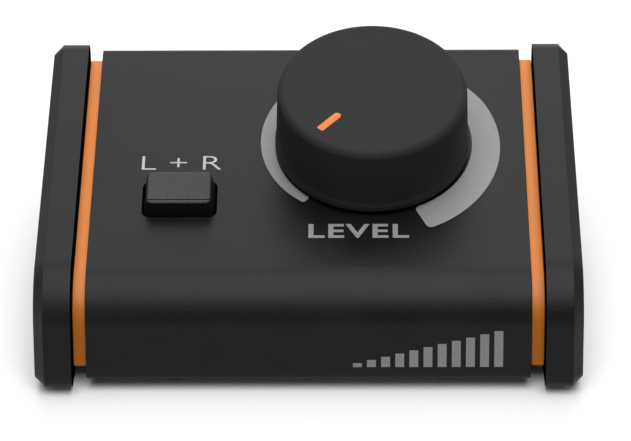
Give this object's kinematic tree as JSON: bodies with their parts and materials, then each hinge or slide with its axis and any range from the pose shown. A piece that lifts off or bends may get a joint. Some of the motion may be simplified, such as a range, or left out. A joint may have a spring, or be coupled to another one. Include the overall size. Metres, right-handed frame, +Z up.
{
  "type": "studio monitor controller",
  "caption": "Wedge-shaped desktop audio level controller: a large turning knob and a small push button on a sloping metal panel between end cheeks, round sockets in the rear.",
  "frame": {"origin": "centre of the object's footprint, on the surface that its feet stand on", "axes": "+X to the right along the width, +Y to the back where the sockets are, +Z up"},
  "size_m": [0.105, 0.0724, 0.0515],
  "materials": {
    "powder_coat": "fine matt powder coat",
    "zinc_sheet": "zinc-plated can",
    "cheek_plastic": "fine moulded grain",
    "orange_plate": "satin coloured plate",
    "black_screw": "black oxide",
    "foot_rubber": "moulded rubber",
    "soft_touch": "soft-touch coat",
    "pointer_orange": "inlaid bar",
    "brass": "turned",
    "nickel": "nickel-plated",
    "grained_plastic": "coarse spark-eroded grain",
    "board_green": "solder-masked circuit board",
    "socket_plastic": "moulded",
    "pale_nylon": "natural nylon",
    "ribbon_grey": "ribbed ribbon cable"
  },
  "bodies": {
    "case": {"top_shell": "powder_coat", "chassis": "powder_coat", "left_cheek": "cheek_plastic", "right_cheek": "cheek_plastic", "left_trim_plate": "orange_plate", "right_trim_plate": "orange_plate", "cheek_screw_left_front": "black_screw", "cheek_screw_left_rear_low": "black_screw", "cheek_screw_left_rear_high": "black_screw", "cheek_screw_right_front": "black_screw", "cheek_screw_right_rear_low": "black_screw", "cheek_screw_right_rear_high": "black_screw", "rear_screw_left": "black_screw", "rear_screw_right": "black_screw", "base_screw_left": "black_screw", "base_screw_right": "black_screw", "foot_front_left": "foot_rubber", "foot_front_right": "foot_rubber", "foot_rear_left": "foot_rubber", "foot_rear_right": "foot_rubber", "board_post_left": "nickel", "board_post_right": "nickel", "board_screw_left": "nickel", "board_screw_right": "nickel", "pot_housing": "zinc_sheet", "pot_bushing": "brass", "pot_washer": "nickel", "pot_nut": "nickel", "switch_housing": "socket_plastic", "switch_spring": "nickel", "control_board": "board_green", "ribbon_header_upper": "socket_plastic", "ribbon_header_lower": "socket_plastic", "link_ribbon": "ribbon_grey", "jack_board": "board_green", "output_left_jack_housing": "socket_plastic", "output_left_jack_nut": "nickel", "output_left_tip_contact": "nickel", "output_left_ring_contact": "nickel", "output_right_jack_housing": "socket_plastic", "output_right_jack_nut": "nickel", "output_right_tip_contact": "nickel", "output_right_ring_contact": "nickel", "input_left_jack_housing": "socket_plastic", "input_left_jack_nut": "nickel", "input_left_tip_contact": "nickel", "input_left_ring_contact": "nickel", "input_right_jack_housing": "socket_plastic", "input_right_jack_nut": "nickel", "input_right_tip_contact": "nickel", "input_right_ring_contact": "nickel", "mini_jack_housing": "socket_plastic", "mini_jack_nut": "nickel"},
    "knob": {"knob_cap": "soft_touch", "knob_pointer": "pointer_orange", "knob_insert": "brass", "pot_shaft": "nickel"},
    "button": {"button_cap": "grained_plastic", "switch_plunger": "pale_nylon"}
  },
  "joints": [
    {"name": "knob_turn", "type": "hinge", "parent": "case", "child": "knob", "pos_m": [0.0124, 0.00671, 0.03132], "axis": [0, -0.2924, 0.9563], "range_deg": [-285.5, 14.5]},
    {"name": "mono_press", "type": "slide", "parent": "case", "child": "button", "axis": [0, 0.2924, -0.9563], "range_m": [0, 0.002], "stiffness_N_per_m": 800, "springref_m": -0.0003, "deforming": ["switch_spring"]}
  ]
}
